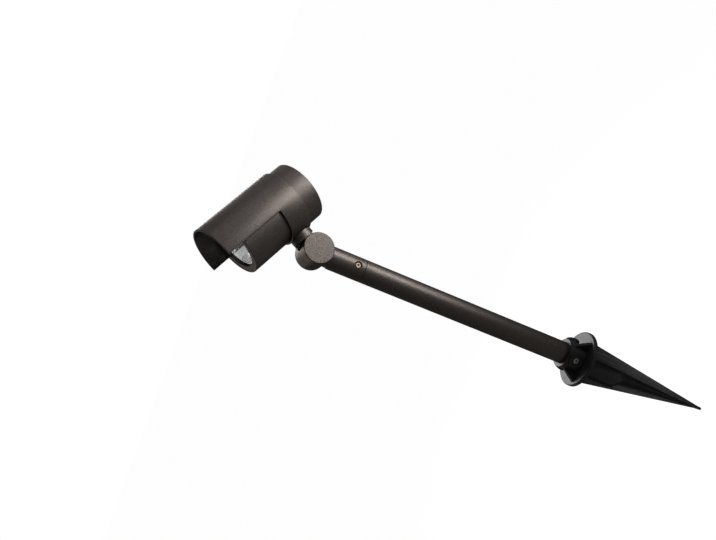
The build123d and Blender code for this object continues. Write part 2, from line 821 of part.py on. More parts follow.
foot_line = back_wall_face + bracket_thickness / 2
bridge_line = holder_back - bracket_thickness / 2
with BuildPart() as holder_bracket:
    with BuildSketch(head_section):
        with BuildLine():
            strip = Polyline(
                (foot_line, bracket_foot_spread),
                (foot_line, bracket_leg_spread),
                (bridge_line, bracket_leg_spread),
                (bridge_line, -bracket_leg_spread),
                (foot_line, -bracket_leg_spread),
                (foot_line, -bracket_foot_spread),
            )
        trace(strip, line_width=bracket_thickness)
    extrude(amount=bracket_width / 2, both=True)
    with BuildSketch(head_cross.offset(back_wall_face - bracket_thickness)):
        with Locations((-foot_screw_spread, 0), (foot_screw_spread, 0)):
            Circle(small_screw_radius + seat_clearance)
    extrude(amount=3 * bracket_thickness, mode=Mode.SUBTRACT)
    with BuildSketch(head_cross.offset(holder_back + bracket_thickness)):
        with Locations((-holder_screw_spread, 0), (holder_screw_spread, 0)):
            Circle(small_screw_radius + seat_clearance)
    extrude(amount=-3 * bracket_thickness, mode=Mode.SUBTRACT)


def small_screws(height, spread, direction):
    """Two small screws whose heads stand at this height on the head's axis, one each side."""
    return [
        headed_screw(
            Plane(head_centre + aim_dir * height + up_dir * side * spread, z_dir=direction),
            small_screw_radius,
            bracket_thickness + small_screw_depth,
            small_screw_head,
            small_screw_radius,
        )
        for side in (-1, 1)
    ]


foot_pair = small_screws(back_wall_face + bracket_thickness, foot_screw_spread, aim_dir)
with BuildPart() as bracket_screws:
    add(foot_pair)

bridge_pair = small_screws(holder_back - bracket_thickness, holder_screw_spread, -aim_dir)
with BuildPart() as holder_screws:
    add(bridge_pair)


# ---------------------------------------------------------------- files, one for each piece

pieces = {
    "ground_spike": ground_spike,
    "pole_tube": pole_tube,
    "cable_grommet": cable_grommet,
    "spike_lock_screws": spike_lock_screws,
    "pole_spigot": pole_spigot,
    "spigot_seal": spigot_seal,
    "pole_fitting": pole_fitting,
    "swivel_lock_screw": swivel_lock_screw,
    "knuckle_seal": knuckle_seal,
    "friction_washer": friction_washer,
    "knuckle_bolt": knuckle_bolt,
    "bolt_washer": bolt_washer,
    "head_stem": head_stem,
    "hood_sleeve": hood_sleeve,
    "stem_screws": stem_screws,
    "canister_lock_screw": canister_lock_screw,
    "canister_body": canister_body,
    "front_bezel": front_bezel,
    "front_glass": front_glass,
    "glass_gasket": glass_gasket,
    "wire_gland": wire_gland,
    "lamp_reflector": lamp_reflector,
    "lamp_capsule": lamp_capsule,
    "lamp_base": lamp_base,
    "lamp_pins": lamp_pins,
    "lampholder": lampholder,
    "holder_bracket": holder_bracket,
    "bracket_screws": bracket_screws,
    "holder_screws": holder_screws,
}

os.makedirs("parts", exist_ok=True)
for piece_name, piece in pieces.items():
    piece.part.label = piece_name
    export_step(piece.part, f"parts/{piece_name}.step")
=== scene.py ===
"""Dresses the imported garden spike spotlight: powder coat, spike, fasteners, lamp and studio."""

import json

import bmesh
import bpy
import numpy as np
from bpy.props import FloatProperty, FloatVectorProperty, IntProperty, PointerProperty
from mathutils import Matrix, Vector


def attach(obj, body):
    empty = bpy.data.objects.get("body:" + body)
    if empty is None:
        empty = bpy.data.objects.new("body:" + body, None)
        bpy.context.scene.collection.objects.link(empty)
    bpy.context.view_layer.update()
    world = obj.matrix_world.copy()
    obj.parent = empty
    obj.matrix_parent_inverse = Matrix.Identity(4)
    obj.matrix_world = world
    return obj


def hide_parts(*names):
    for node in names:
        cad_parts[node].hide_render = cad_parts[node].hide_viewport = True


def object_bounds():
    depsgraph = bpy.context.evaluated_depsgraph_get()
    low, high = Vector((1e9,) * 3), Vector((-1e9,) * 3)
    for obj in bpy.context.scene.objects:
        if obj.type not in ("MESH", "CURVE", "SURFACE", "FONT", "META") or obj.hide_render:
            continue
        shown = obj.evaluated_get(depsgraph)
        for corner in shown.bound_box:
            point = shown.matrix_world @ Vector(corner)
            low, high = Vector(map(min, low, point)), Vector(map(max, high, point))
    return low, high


bl_info = {
    "name": "Garden spike spotlight",
    "version": (1, 0, 0),
    "blender": (4, 5, 0),
    "location": "View3D > Sidebar > Spotlight",
    "description": "Finishes for a garden spike spotlight, its reflector lamp and its studio",
    "category": "Object",
}

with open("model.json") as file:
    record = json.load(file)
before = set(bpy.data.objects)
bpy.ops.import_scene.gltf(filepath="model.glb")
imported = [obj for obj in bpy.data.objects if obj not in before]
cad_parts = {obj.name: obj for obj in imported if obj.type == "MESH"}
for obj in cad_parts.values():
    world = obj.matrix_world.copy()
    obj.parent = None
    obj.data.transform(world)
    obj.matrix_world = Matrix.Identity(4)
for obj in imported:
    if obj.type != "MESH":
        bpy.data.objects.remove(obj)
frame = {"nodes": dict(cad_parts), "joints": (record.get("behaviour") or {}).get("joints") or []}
cad_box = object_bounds()

# ---------------------------------------------------------------- places read from the frame

MM = 0.001
JOINTS = {joint["name"]: joint for joint in frame["joints"]}
KNUCKLE = np.array(JOINTS["head_tilt"]["pos_m"])
AIM = np.array(JOINTS["canister_slide"]["axis"])
AIM = AIM / np.linalg.norm(AIM)
SIDE = np.array([0.0, 1.0, 0.0])
RISE = np.cross(SIDE, AIM)

# Sizes of the model that the frame doesn't list
HEAD_RISE = 57.4 * MM  # knuckle's axis to the head's axis
LAMP_FRONT = 56.7 * MM  # lamp's rim ahead of the head's centre
LOCK_SCREW_DROP = 45.5 * MM  # knuckle's axis down to the lock screw
HEAD = KNUCKLE + RISE * HEAD_RISE

# Axes that finishes are turned about: a point and a direction
POLE_LINE = (0.0, 0.0, 0.0), (0.0, 0.0, 1.0)
LOCK_SCREW = (0.0, 0.0, KNUCKLE[2] - LOCK_SCREW_DROP), (0.0, 1.0, 0.0)

# The camera as measured from the photograph: its place, and the picture's three directions
CAMERA_PLACE = (-0.28728, -0.77530, 0.50821)
PICTURE_RIGHT = (0.2687, -0.3619, -0.8927)
PICTURE_DOWN = (-0.9034, 0.2268, -0.3638)
PICTURE_AHEAD = (0.3341, 0.9042, -0.2660)

# Nodes by their finish, and the painted ones with rounded edges, each with the body it moves with
PAINTED = ("pole_tube", "pole_fitting", "head_stem", "hood_sleeve", "canister_body", "front_bezel")
ROUNDED = {"hood_sleeve": "head", "canister_body": "canister", "pole_tube": "ground"}
STEEL = (
    "spike_lock_screws",
    "knuckle_bolt",
    "bolt_washer",
    "stem_screws",
    "canister_lock_screw",
    "holder_bracket",
    "bracket_screws",
    "holder_screws",
    "lamp_pins",
)
RUBBER = ("cable_grommet", "spigot_seal", "knuckle_seal", "wire_gland")
CERAMIC = ("lamp_base", "lampholder")


# ---------------------------------------------------------------- surfaces

def grid_mesh(name, points, around=True, along=False):
    """A mesh of four-sided faces over a grid of points (rows, columns, 3).

    around joins the last column to the first, and along joins the last row to the first.
    """
    rows, columns = points.shape[:2]
    number = np.arange(rows * columns).reshape(rows, columns)
    if around:
        number = np.hstack([number, number[:, :1]])
    if along:
        number = np.vstack([number, number[:1]])
    corners = np.stack([number[:-1, :-1], number[:-1, 1:], number[1:, 1:], number[1:, :-1]], axis=-1)
    corners = corners.reshape(-1, 4)
    mesh = bpy.data.meshes.new(name)
    mesh.vertices.add(rows * columns)
    mesh.vertices.foreach_set("co", points.astype(np.float32).ravel())
    mesh.loops.add(corners.size)
    mesh.loops.foreach_set("vertex_index", corners.ravel().astype(np.int32))
    mesh.polygons.add(len(corners))
    mesh.polygons.foreach_set("loop_start", np.arange(0, corners.size, 4, dtype=np.int32))
    mesh.update(calc_edges=True)
    mesh.validate()
    return mesh


def cleaned(mesh):
    """Merges the doubled points at poles and turns every face outwards."""
    work = bmesh.new()
    work.from_mesh(mesh)
    bmesh.ops.remove_doubles(work, verts=work.verts, dist=1e-7)
    bmesh.ops.recalc_face_normals(work, faces=work.faces)
    work.to_mesh(mesh)
    work.free()
    return mesh


def piece(name, mesh, material, body):
    """Puts a finished mesh into the scene as a smooth piece that moves with a body."""
    mesh.materials.append(material)
    mesh.polygons.foreach_set("use_smooth", np.full(len(mesh.polygons), True))
    made = bpy.data.objects.new(name, mesh)
    bpy.context.scene.collection.objects.link(made)
    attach(made, body)
    return made


def softened(name, radius):
    """A CAD node's mesh with its doubled points merged and its longer edges rounded.

    Square edges come first. The two edges of each chamfer follow, with a smaller radius. Short
    edges are those of small holes, and they stay sharp.
    """
    shortest = 1.2 * MM
    sharp_angle = 0.6
    # Least and greatest angle between an edge's two faces, and how far its rounding reaches
    square = 1.2, np.pi, radius
    chamfered = 0.6, 1.0, radius * 0.6

    item = frame["nodes"][name]
    work = bmesh.new()
    work.from_mesh(item.data)
    work.transform(item.matrix_world)
    bmesh.ops.remove_doubles(work, verts=work.verts, dist=1e-6)
    bmesh.ops.dissolve_degenerate(work, edges=work.edges, dist=1e-6)
    for least, most, offset in (square, chamfered):
        long_edges = [edge for edge in work.edges if edge.is_manifold and edge.calc_length() > shortest]
        creases = [edge for edge in long_edges if least < edge.calc_face_angle() < most]
        bmesh.ops.bevel(work, geom=creases, offset=offset, segments=3, profile=0.5, affect="EDGES")
    bmesh.ops.triangulate(work, faces=work.faces)
    mesh = bpy.data.meshes.new(name)
    work.to_mesh(mesh)
    work.free()
    imported_normals = mesh.attributes.get("custom_normal")
    if imported_normals:
        mesh.attributes.remove(imported_normals)
    mesh.materials.clear()
    mesh.validate()
    mesh.set_sharp_from_angle(angle=sharp_angle)
    return mesh


def head_points(along, radius, angle):
    """Points about the head's axis: a place along it, a radius, and an angle from straight up."""
    along, radius, angle = np.broadcast_arrays(along, radius, angle)
    across = np.cos(angle)[..., None] * RISE - np.sin(angle)[..., None] * SIDE
    return HEAD + along[..., None] * AIM + radius[..., None] * across


# ---------------------------------------------------------------- shader values

class Value:
    """A shader socket on which sums are written as plain expressions, one Math node each."""

    def __init__(self, tree, socket):
        self.tree = tree
        self.socket = socket

    def math(self, operation, first, second):
        """One Math node on two values."""
        return add_node(self.tree, "ShaderNodeMath", {0: first, 1: second}, operation=operation)

    def __add__(self, other):
        return self.math("ADD", self, other)

    def __sub__(self, other):
        return self.math("SUBTRACT", self, other)

    def __mul__(self, other):
        return self.math("MULTIPLY", self, other)

    def __truediv__(self, other):
        return self.math("DIVIDE", self, other)

    def __radd__(self, other):
        return self.math("ADD", other, self)

    def __rsub__(self, other):
        return self.math("SUBTRACT", other, self)

    def __rmul__(self, other):
        return self.math("MULTIPLY", other, self)

    def __rtruediv__(self, other):
        return self.math("DIVIDE", other, self)

    def at_least(self, other):
        return self.math("MAXIMUM", self, other)


def put(tree, place, value):
    """Gives a socket a link or a plain value."""
    if isinstance(value, Value):
        tree.links.new(value.socket, place)
    elif place.type == "RGBA":
        place.default_value = (*value[:3], 1.0)
    else:
        place.default_value = value


def add_node(tree, kind, sockets=(), out=0, **settings):
    """Adds a node: its settings first, then the values or links of its sockets."""
    made = tree.nodes.new(kind)
    for setting, value in settings.items():
        setattr(made, setting, value)
    for place, value in dict(sockets).items():
        put(tree, made.inputs[place], value)
    return Value(tree, made.outputs[out])


class Finish:
    """A material as it is put together: its nodes, and the shader whose sockets they feed."""

    def __init__(self, name, **constants):
        self.material = bpy.data.materials.new(name)
        self.material.use_nodes = True
        self.tree = self.material.node_tree
        self.shader = self.tree.nodes["Principled BSDF"]
        self.place = self.node("ShaderNodeTexCoord", out="Object")
        for socket, value in constants.items():
            self.feed(socket.replace("_", " "), value)

    def feed(self, socket, value):
        """Feeds one of the shader's sockets."""
        put(self.tree, self.shader.inputs[socket], value)

    def node(self, kind, sockets=(), out=0, **settings):
        """One node of this material."""
        return add_node(self.tree, kind, sockets, out, **settings)

    def noise(self, size, detail=2.0, rough=0.5):
        """A cloudy value from 0 to 1, with features of this size in metres."""
        sockets = {"Vector": self.place, "Scale": 1.0 / size, "Detail": detail, "Roughness": rough}
        return self.node("ShaderNodeTexNoise", sockets)

    def flakes(self, size):
        """A random value from 0 to 1 for each flake of this size in metres."""
        sockets = {"Vector": self.place, "Scale": 1.0 / size}
        colour = self.node("ShaderNodeTexVoronoi", sockets, out="Color")
        return self.node("ShaderNodeSeparateColor", {"Color": colour})

    def ramp(self, value, low, high, start=0.0, end=1.0):
        """The value carried smoothly from start to end while it goes from low to high."""
        sockets = {"Value": value, "From Min": low, "From Max": high, "To Min": start, "To Max": end}
        return self.node("ShaderNodeMapRange", sockets, interpolation_type="SMOOTHSTEP")

    def tint(self, factor, first, second):
        """A colour between two colours. The node's colour sockets come after its plain ones."""
        return self.node("ShaderNodeMix", {0: factor, 6: first, 7: second}, out=2, data_type="RGBA")

    def bump(self, height, depth):
        """Raises the surface by height times depth, in metres."""
        sockets = {"Height": height, "Distance": depth, "Strength": 1.0}
        self.feed("Normal", self.node("ShaderNodeBump", sockets))

    def distance_to_axis(self, origin, direction):
        """How far a point lies from an axis, in metres."""
        offset = self.vector("SUBTRACT", self.place, tuple(origin))
        cross = self.vector("CROSS_PRODUCT", offset, tuple(direction))
        return self.vector("LENGTH", cross, out="Value")

    def vector(self, operation, first, second=None, out="Vector"):
        """One Vector Math node."""
        sockets = {0: first} if second is None else {0: first, 1: second}
        return self.node("ShaderNodeVectorMath", sockets, out=out, operation=operation)


def shade(colour, share):
    """A colour made darker or lighter."""
    return tuple(min(1.0, channel * share) for channel in colour[:3])


def dress(nodes, material):
    """Gives CAD nodes a material through their objects' slots."""
    for name in nodes:
        item = frame["nodes"][name]
        if not item.material_slots:
            item.data.materials.append(material)
        for slot in item.material_slots:
            slot.material = material


# ---------------------------------------------------------------- finishes

def powder_coat(name, settings):
    """Fine-textured bronze powder coat: a small grain, metal flakes and a cloudy tone.

    The lock screw's recess has painted shade: the paint goes dark near the screw's axis and under the
    pole's round surface.
    """
    colour = settings.paint_colour
    metallic = settings.paint_metallic
    recess_edge = 4.3 * MM, 4.0 * MM
    recess_depth = 12.3 * MM, 11.6 * MM

    finish = Finish(name, Metallic=metallic, Specular_IOR_Level=0.35, Specular_Tint=(0.5, 0.48, 0.46))
    grain = finish.noise(settings.grain_size, detail=2.0, rough=0.6)
    skin = finish.noise(settings.grain_size * 3.0, detail=1.0)
    cloud = finish.noise(18 * MM, detail=2.0)
    flake = finish.flakes(settings.grain_size * 0.8)
    base = finish.tint(finish.ramp(grain, 0.3, 0.7), shade(colour, 0.74), shade(colour, 1.26))
    base = finish.tint(finish.ramp(flake, 0.88, 1.0) * 0.3, base, shade(colour, 2.2))
    base = finish.tint(finish.ramp(cloud, 0.35, 0.7) * 0.25, base, shade(colour, 0.85))
    # Painted shade in the lock screw's recess: almost black near the screw's axis, below the pole's round
    # surface
    recess_shade = finish.ramp(finish.distance_to_axis(*LOCK_SCREW), *recess_edge)
    below = finish.ramp(finish.distance_to_axis(*POLE_LINE), *recess_depth)
    base = finish.tint(recess_shade * below, base, shade(colour, 0.15))
    finish.feed("Base Color", base)
    finish.feed("Roughness", settings.paint_roughness + (grain - 0.5) * 0.16 + (cloud - 0.5) * 0.05)
    finish.bump(grain * 0.6 + skin * 0.4, settings.grain_depth)
    return finish.material


def moulded_nylon(settings):
    """Glass-filled nylon: matt, with a spark-eroded grain and faint flow marks along the spike."""
    colour = settings.spike_colour
    stretched = 1.0, 1.0, 0.2
    marks_in_a_metre = 120.0

    finish = Finish("spike_nylon", Specular_IOR_Level=0.4)
    grain = finish.noise(0.5 * MM, detail=3.0)
    along = finish.vector("MULTIPLY", finish.place, stretched)
    flow = finish.node("ShaderNodeTexNoise", {"Vector": along, "Scale": marks_in_a_metre, "Detail": 2.0})
    finish.feed("Base Color", finish.tint(finish.ramp(flow, 0.35, 0.7), colour, shade(colour, 1.5)))
    finish.feed("Roughness", 0.52 + (grain - 0.5) * 0.2 + (flow - 0.5) * 0.1)
    finish.bump(grain, 0.05 * MM)
    return finish.material


def soft_rubber(name, colour):
    """Moulded rubber or silicone: dull, with a fine bloom on its skin."""
    finish = Finish(name, Specular_IOR_Level=0.35)
    bloom = finish.noise(2.2 * MM, detail=3.0)
    grain = finish.noise(0.35 * MM)
    finish.feed("Base Color", finish.tint(finish.ramp(bloom, 0.4, 0.75), colour, shade(colour, 1.6)))
    finish.feed("Roughness", 0.66 + (bloom - 0.5) * 0.2)
    finish.bump(grain, 0.03 * MM)
    return finish.material


def bright_metal(name, colour, roughness, origin, direction):
    """Turned metal: fine rings about the axis it was turned on, and a cloudy tarnish."""
    ring_step = 0.045 * MM

    finish = Finish(name, Metallic=1.0)
    away = finish.distance_to_axis(origin, direction)
    rings = finish.node("ShaderNodeMath", {0: away / ring_step}, operation="SINE")
    tarnish = finish.noise(3.0 * MM, detail=3.0)
    finish.feed("Base Color", finish.tint(finish.ramp(tarnish, 0.4, 0.75), colour, shade(colour, 0.72)))
    finish.feed("Roughness", roughness + (tarnish - 0.5) * 0.2)
    finish.bump(rings, 0.004 * MM)
    return finish.material


def glazed_ceramic(settings):
    """Steatite: off-white, faintly mottled, with a thin glaze."""
    finish = Finish("ceramic", Coat_Weight=0.35, Coat_Roughness=0.2)
    mottle = finish.noise(1.6 * MM, detail=4.0)
    colour = settings.ceramic_colour
    finish.feed("Base Color", finish.tint(finish.ramp(mottle, 0.35, 0.7), colour, shade(colour, 0.86)))
    finish.feed("Roughness", 0.45 + (mottle - 0.5) * 0.2)
    finish.bump(mottle, 0.03 * MM)
    return finish.material


def acetal():
    """Smooth white acetal, rubbed a little by the discs that turn on it."""
    finish = Finish("acetal")
    rub = finish.noise(1.2 * MM, detail=3.0)
    finish.feed("Base Color", finish.tint(rub, (0.76, 0.75, 0.71), (0.62, 0.61, 0.57)))
    finish.feed("Roughness", 0.38 + rub * 0.15)
    finish.bump(rub, 0.01 * MM)
    return finish.material


def vapour_coating(settings):
    """Vacuum-coated aluminium on pressed glass: bright, with a faint haze."""
    finish = Finish("reflector", Metallic=1.0)
    haze = finish.noise(2.6 * MM, detail=3.0)
    pits = finish.noise(0.5 * MM)
    colour = settings.reflector_colour
    finish.feed("Base Color", finish.tint(finish.ramp(haze, 0.3, 0.75), colour, shade(colour, 0.9)))
    finish.feed("Roughness", 0.03 + haze * 0.04)
    finish.bump(pits, 0.004 * MM)
    return finish.material


def clear_glass(name, colour):
    """Clear glass with the faint unevenness and dust film of a lamp that has been outdoors."""
    finish = Finish(name, Transmission_Weight=1.0, IOR=1.5)
    dust = finish.noise(4.0 * MM, detail=3.0)
    finish.feed("Base Color", finish.tint(dust, colour, shade(colour, 0.97)))
    finish.feed("Roughness", dust * 0.02)
    finish.bump(dust, 0.002 * MM)
    return finish.material


# ---------------------------------------------------------------- settings

class SpotlightFinishes(bpy.types.PropertyGroup):
    """Colours and grain of the spotlight's finishes."""

    paint_colour: FloatVectorProperty(
        name="Paint",
        description="Colour of the powder coat",
        subtype="COLOR",
        default=(0.13, 0.113, 0.103),
    )
    paint_metallic: FloatProperty(
        name="Paint metal",
        description="Share of metal pigment in the paint",
        default=0.85,
        subtype="FACTOR",
    )
    paint_roughness: FloatProperty(
        name="Paint roughness", description="How dull the powder coat is", default=0.46, subtype="FACTOR"
    )
    grain_size: FloatProperty(
        name="Grain size", description="Size of the paint's grain", default=0.9 * MM, unit="LENGTH"
    )
    grain_depth: FloatProperty(
        name="Grain depth", description="Depth of the paint's grain", default=0.12 * MM, unit="LENGTH"
    )
    edge_radius: FloatProperty(
        name="Edge radius", description="Rounding of the painted edges", default=0.5 * MM, unit="LENGTH"
    )
    spike_colour: FloatVectorProperty(
        name="Spike",
        description="Colour of the moulded spike",
        subtype="COLOR",
        default=(0.024, 0.024, 0.023),
    )
    ceramic_colour: FloatVectorProperty(
        name="Ceramic",
        description="Colour of the lamp's ceramic",
        subtype="COLOR",
        default=(0.74, 0.71, 0.64),
    )
    reflector_colour: FloatVectorProperty(
        name="Reflector",
        description="Colour of the coated reflector",
        subtype="COLOR",
        default=(0.96, 0.96, 0.95),
    )


class SpotlightLamp(bpy.types.PropertyGroup):
    """Sizes of the reflector lamp."""

    facet_columns: IntProperty(name="Facet columns", description="Facets round the reflector", default=54)
    facet_rings: IntProperty(name="Facet rings", description="Rings of facets", default=5)
    facet_swell: FloatProperty(
        name="Facet swell", description="How far each facet bulges", default=0.07 * MM, unit="LENGTH"
    )
    mouth_radius: FloatProperty(
        name="Mouth radius", description="Reflector's bright mouth", default=23.6 * MM, unit="LENGTH"
    )
    throat_radius: FloatProperty(
        name="Throat radius", description="Hole for the capsule", default=5.4 * MM, unit="LENGTH"
    )
    coil_radius: FloatProperty(
        name="Coil radius", description="Radius of the filament's coil", default=0.65 * MM, unit="LENGTH"
    )
    coil_length: FloatProperty(
        name="Coil length", description="Length of the filament's coil", default=4.2 * MM, unit="LENGTH"
    )


class SpotlightStudio(bpy.types.PropertyGroup):
    """Lights, backdrop and camera."""

    key_power: FloatProperty(
        name="Key light", description="Power of the key light", default=0.48, unit="POWER"
    )
    top_power: FloatProperty(
        name="Top light", description="Power of the top light", default=0.07, unit="POWER"
    )
    spike_power: FloatProperty(
        name="Spike light", description="Power of the spike light", default=0.02, unit="POWER"
    )
    back_power: FloatProperty(
        name="Back light", description="Power of the back light", default=1.4, unit="POWER"
    )
    beam: FloatProperty(
        name="Beam", description="How wide the lights' beams are", default=1.08, unit="ROTATION"
    )
    surround: FloatProperty(
        name="Surround", description="Strength of the room's own light", default=0.09, subtype="FACTOR"
    )
    mirrored: FloatProperty(
        name="Mirrored", description="How white the backdrop is in metal", default=0.8, subtype="FACTOR"
    )
    lens: FloatProperty(
        name="Lens", description="Focal length of the camera's lens", default=41.5, unit="CAMERA"
    )


# ---------------------------------------------------------------- operators

class SPOTLIGHT_OT_paint_metal(bpy.types.Operator):
    """Powder coat on the pole, the knuckle, the sleeve and the canister, with rounded edges"""

    bl_idname = "spotlight.paint_metal"
    bl_label = "Paint the metal"

    def execute(self, context):
        settings = context.scene.spotlight_finishes
        paint = powder_coat("powder_coat", settings)
        dress(PAINTED, paint)
        for name, body in ROUNDED.items():
            made = piece("soft_" + name, softened(name, settings.edge_radius), paint, body)
            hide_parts(name)
        return {"FINISHED"}


class SPOTLIGHT_OT_finish_spike(bpy.types.Operator):
    """Moulded nylon on the ground spike"""

    bl_idname = "spotlight.finish_spike"
    bl_label = "Finish the spike"

    def execute(self, context):
        dress(("ground_spike",), moulded_nylon(context.scene.spotlight_finishes))
        return {"FINISHED"}


class SPOTLIGHT_OT_finish_small_parts(bpy.types.Operator):
    """Rubber, silicone, acetal, steel, brass, aluminium and ceramic on the small parts"""

    bl_idname = "spotlight.finish_small_parts"
    bl_label = "Finish the small parts"

    def execute(self, context):
        settings = context.scene.spotlight_finishes
        dress(RUBBER, soft_rubber("black_rubber", (0.02, 0.02, 0.02)))
        dress(("glass_gasket",), soft_rubber("clear_silicone", (0.22, 0.22, 0.21)))
        dress(("friction_washer",), acetal())
        dress(STEEL, bright_metal("steel", (0.56, 0.55, 0.53), 0.32, *POLE_LINE))
        dress(("swivel_lock_screw",), bright_metal("brass", (0.36, 0.28, 0.215), 0.34, *LOCK_SCREW))
        dress(("pole_spigot",), bright_metal("bare_aluminium", (0.66, 0.66, 0.65), 0.36, *POLE_LINE))
        dress(CERAMIC, glazed_ceramic(settings))
        return {"FINISHED"}


class SPOTLIGHT_OT_glaze(bpy.types.Operator):
    """Clear glass on the front glass and the lamp's capsule"""

    bl_idname = "spotlight.glaze"
    bl_label = "Glaze"

    def execute(self, context):
        dress(("front_glass",), clear_glass("clear_glass", (0.97, 0.985, 0.975)))
        dress(("lamp_capsule",), clear_glass("capsule_glass", (0.98, 0.98, 0.98)))
        return {"FINISHED"}


class SPOTLIGHT_OT_make_reflector(bpy.types.Operator):
    """The lamp's pressed reflector, with rings of swelling facets inside a smooth wall"""

    bl_idname = "spotlight.make_reflector"
    bl_label = "Make the reflector"

    def execute(self, context):
        mesh = reflector_mesh(context.scene.spotlight_lamp)
        material = vapour_coating(context.scene.spotlight_finishes)
        made = piece("faceted_reflector", mesh, material, "canister")
        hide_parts("lamp_reflector")
        return {"FINISHED"}


def reflector_mesh(lamp):
    """The wall between two parabolas of revolution, carried round the head's axis.

    On each parabola the depth grows evenly as radius squared falls. On the inside one each facet
    swells inwards by (1 - x squared)(1 - y squared), where x and y run from -1 to 1 across it.
    """
    per_facet = 6
    outside_rows = 14
    depth = 29.0 * MM
    lip = 1.0 * MM
    wall = 1.5 * MM
    rim_width = 1.6 * MM
    rim = 2.6 * MM
    shoulder = 0.8 * MM
    edge = 0.25 * MM

    mouth = lamp.mouth_radius
    throat = lamp.throat_radius
    rim_radius = mouth + rim_width
    neck = throat + wall
    back = depth + wall

    # Inside wall, from the throat out to the lip
    step = np.linspace(0.0, 1.0, lamp.facet_rings * per_facet + 1)
    inner_radius = throat + (mouth - throat) * step
    fall = (mouth**2 - inner_radius**2) / (mouth**2 - throat**2)
    inner_depth = lip + fall * (depth - lip)

    # Outside wall, from the shoulder back to the neck
    outer_radius = np.linspace(rim_radius - shoulder, neck, outside_rows)
    shoulder_depth = rim + shoulder
    fall = (outer_radius[0] ** 2 - outer_radius**2) / (outer_radius[0] ** 2 - neck**2)
    outer_depth = shoulder_depth + fall * (back - shoulder_depth)

    # Both walls in one closed profile, with the rim between them and the throat's end behind
    rim_radii = [mouth, mouth + edge, rim_radius - edge, rim_radius, rim_radius]
    rim_depths = [edge, 0.0, 0.0, edge, rim]
    radius = np.concatenate([inner_radius, rim_radii, outer_radius, [throat]])
    down = np.concatenate([inner_depth, rim_depths, outer_depth, [back]])

    turn = np.arange(lamp.facet_columns * per_facet) / (lamp.facet_columns * per_facet)
    across = 2.0 * np.mod(turn * lamp.facet_columns, 1.0) - 1.0
    along = np.zeros(len(radius))
    along[: len(step)] = 1.0 - (2.0 * np.mod(step * lamp.facet_rings, 1.0) - 1.0) ** 2
    swell = lamp.facet_swell * along[:, None] * (1.0 - across[None, :] ** 2)
    points = head_points(LAMP_FRONT - down[:, None], radius[:, None] - swell, 2 * np.pi * turn[None, :])
    return cleaned(grid_mesh("faceted_reflector", points, along=True))


class SPOTLIGHT_OT_make_filament(bpy.types.Operator):
    """The tungsten coil inside the lamp's capsule, on its two legs"""

    bl_idname = "spotlight.make_filament"
    bl_label = "Make the filament"

    def execute(self, context):
        lamp = context.scene.spotlight_lamp
        tungsten = bright_metal("tungsten", (0.42, 0.41, 0.4), 0.4, HEAD, AIM)
        made = piece("lamp_filament", filament_mesh(lamp), tungsten, "canister")
        return {"FINISHED"}


def filament_mesh(lamp):
    """A round wire carried along a leg, a helix across the capsule, and the other leg.

    The helix turns about the line from one leg to the other, at the capsule's middle height.
    """
    wire = 0.14 * MM
    sides = 8
    turns = 9
    steps_in_a_turn = 16
    steps_in_a_leg = 7
    middle = LAMP_FRONT - 16.0 * MM
    foot = LAMP_FRONT - 25.5 * MM
    half = lamp.coil_length / 2
    askew = [0.31, 0.87, 0.38]  # a direction that the path never takes

    # The path, as places along the head's axis, above it and beside it
    share = np.linspace(0.0, 1.0, turns * steps_in_a_turn + 1)
    angle = 2 * np.pi * turns * share
    above = lamp.coil_radius * np.sin(angle)
    coil = np.stack([middle + lamp.coil_radius * np.cos(angle), above, half * (2 * share - 1)], axis=1)
    climb = np.linspace(0.0, 1.0, steps_in_a_leg + 1)[:-1, None]
    first = np.array([[foot, 0.0, -half]]) * (1 - climb) + coil[:1] * climb
    last = np.array([[foot, 0.0, half]]) * (1 - climb) + coil[-1:] * climb
    path = np.concatenate([first, coil, last[::-1]])

    # A circle across the path at each of its points, closed to a point at both ends
    ahead = np.gradient(path, axis=0)
    ahead /= np.linalg.norm(ahead, axis=1, keepdims=True)
    level = np.cross(ahead, askew)
    level /= np.linalg.norm(level, axis=1, keepdims=True)
    third = np.cross(ahead, level)
    turn = np.linspace(0.0, 2 * np.pi, sides, endpoint=False)[None, :, None]
    ring = path[:, None] + wire * (np.cos(turn) * level[:, None] + np.sin(turn) * third[:, None])
    start = np.repeat(path[:1, None], sides, axis=1)
    end = np.repeat(path[-1:, None], sides, axis=1)
    ring = np.concatenate([start, ring, end])
    points = HEAD + ring[..., :1] * AIM + ring[..., 1:2] * RISE + ring[..., 2:] * SIDE
    return cleaned(grid_mesh("lamp_filament", points))


class SPOTLIGHT_OT_set_stage(bpy.types.Operator):
    """The camera where the photograph was taken, four soft lights, and a white floor and room"""

    bl_idname = "spotlight.set_stage"
    bl_label = "Set the stage"

    def execute(self, context):
        studio = context.scene.spotlight_studio
        place_camera(context, studio)
        place_lights(studio)
        white_room(context, studio)
        lay_floor(studio)
        context.scene.view_settings.view_transform = "Standard"
        return {"FINISHED"}


def place_camera(context, studio):
    """The camera as measured from the photograph. It is rolled about 68 degrees."""
    lens = bpy.data.cameras.new("camera")
    lens.sensor_width = 36.0
    lens.lens = studio.lens
    lens.clip_start = 10 * MM
    camera = bpy.data.objects.new("camera", lens)
    axes = Vector(PICTURE_RIGHT), -Vector(PICTURE_DOWN), -Vector(PICTURE_AHEAD)
    camera.matrix_world = Matrix.Translation(CAMERA_PLACE) @ Matrix(axes).transposed().to_4x4()
    context.scene.collection.objects.link(camera)
    context.scene.camera = camera


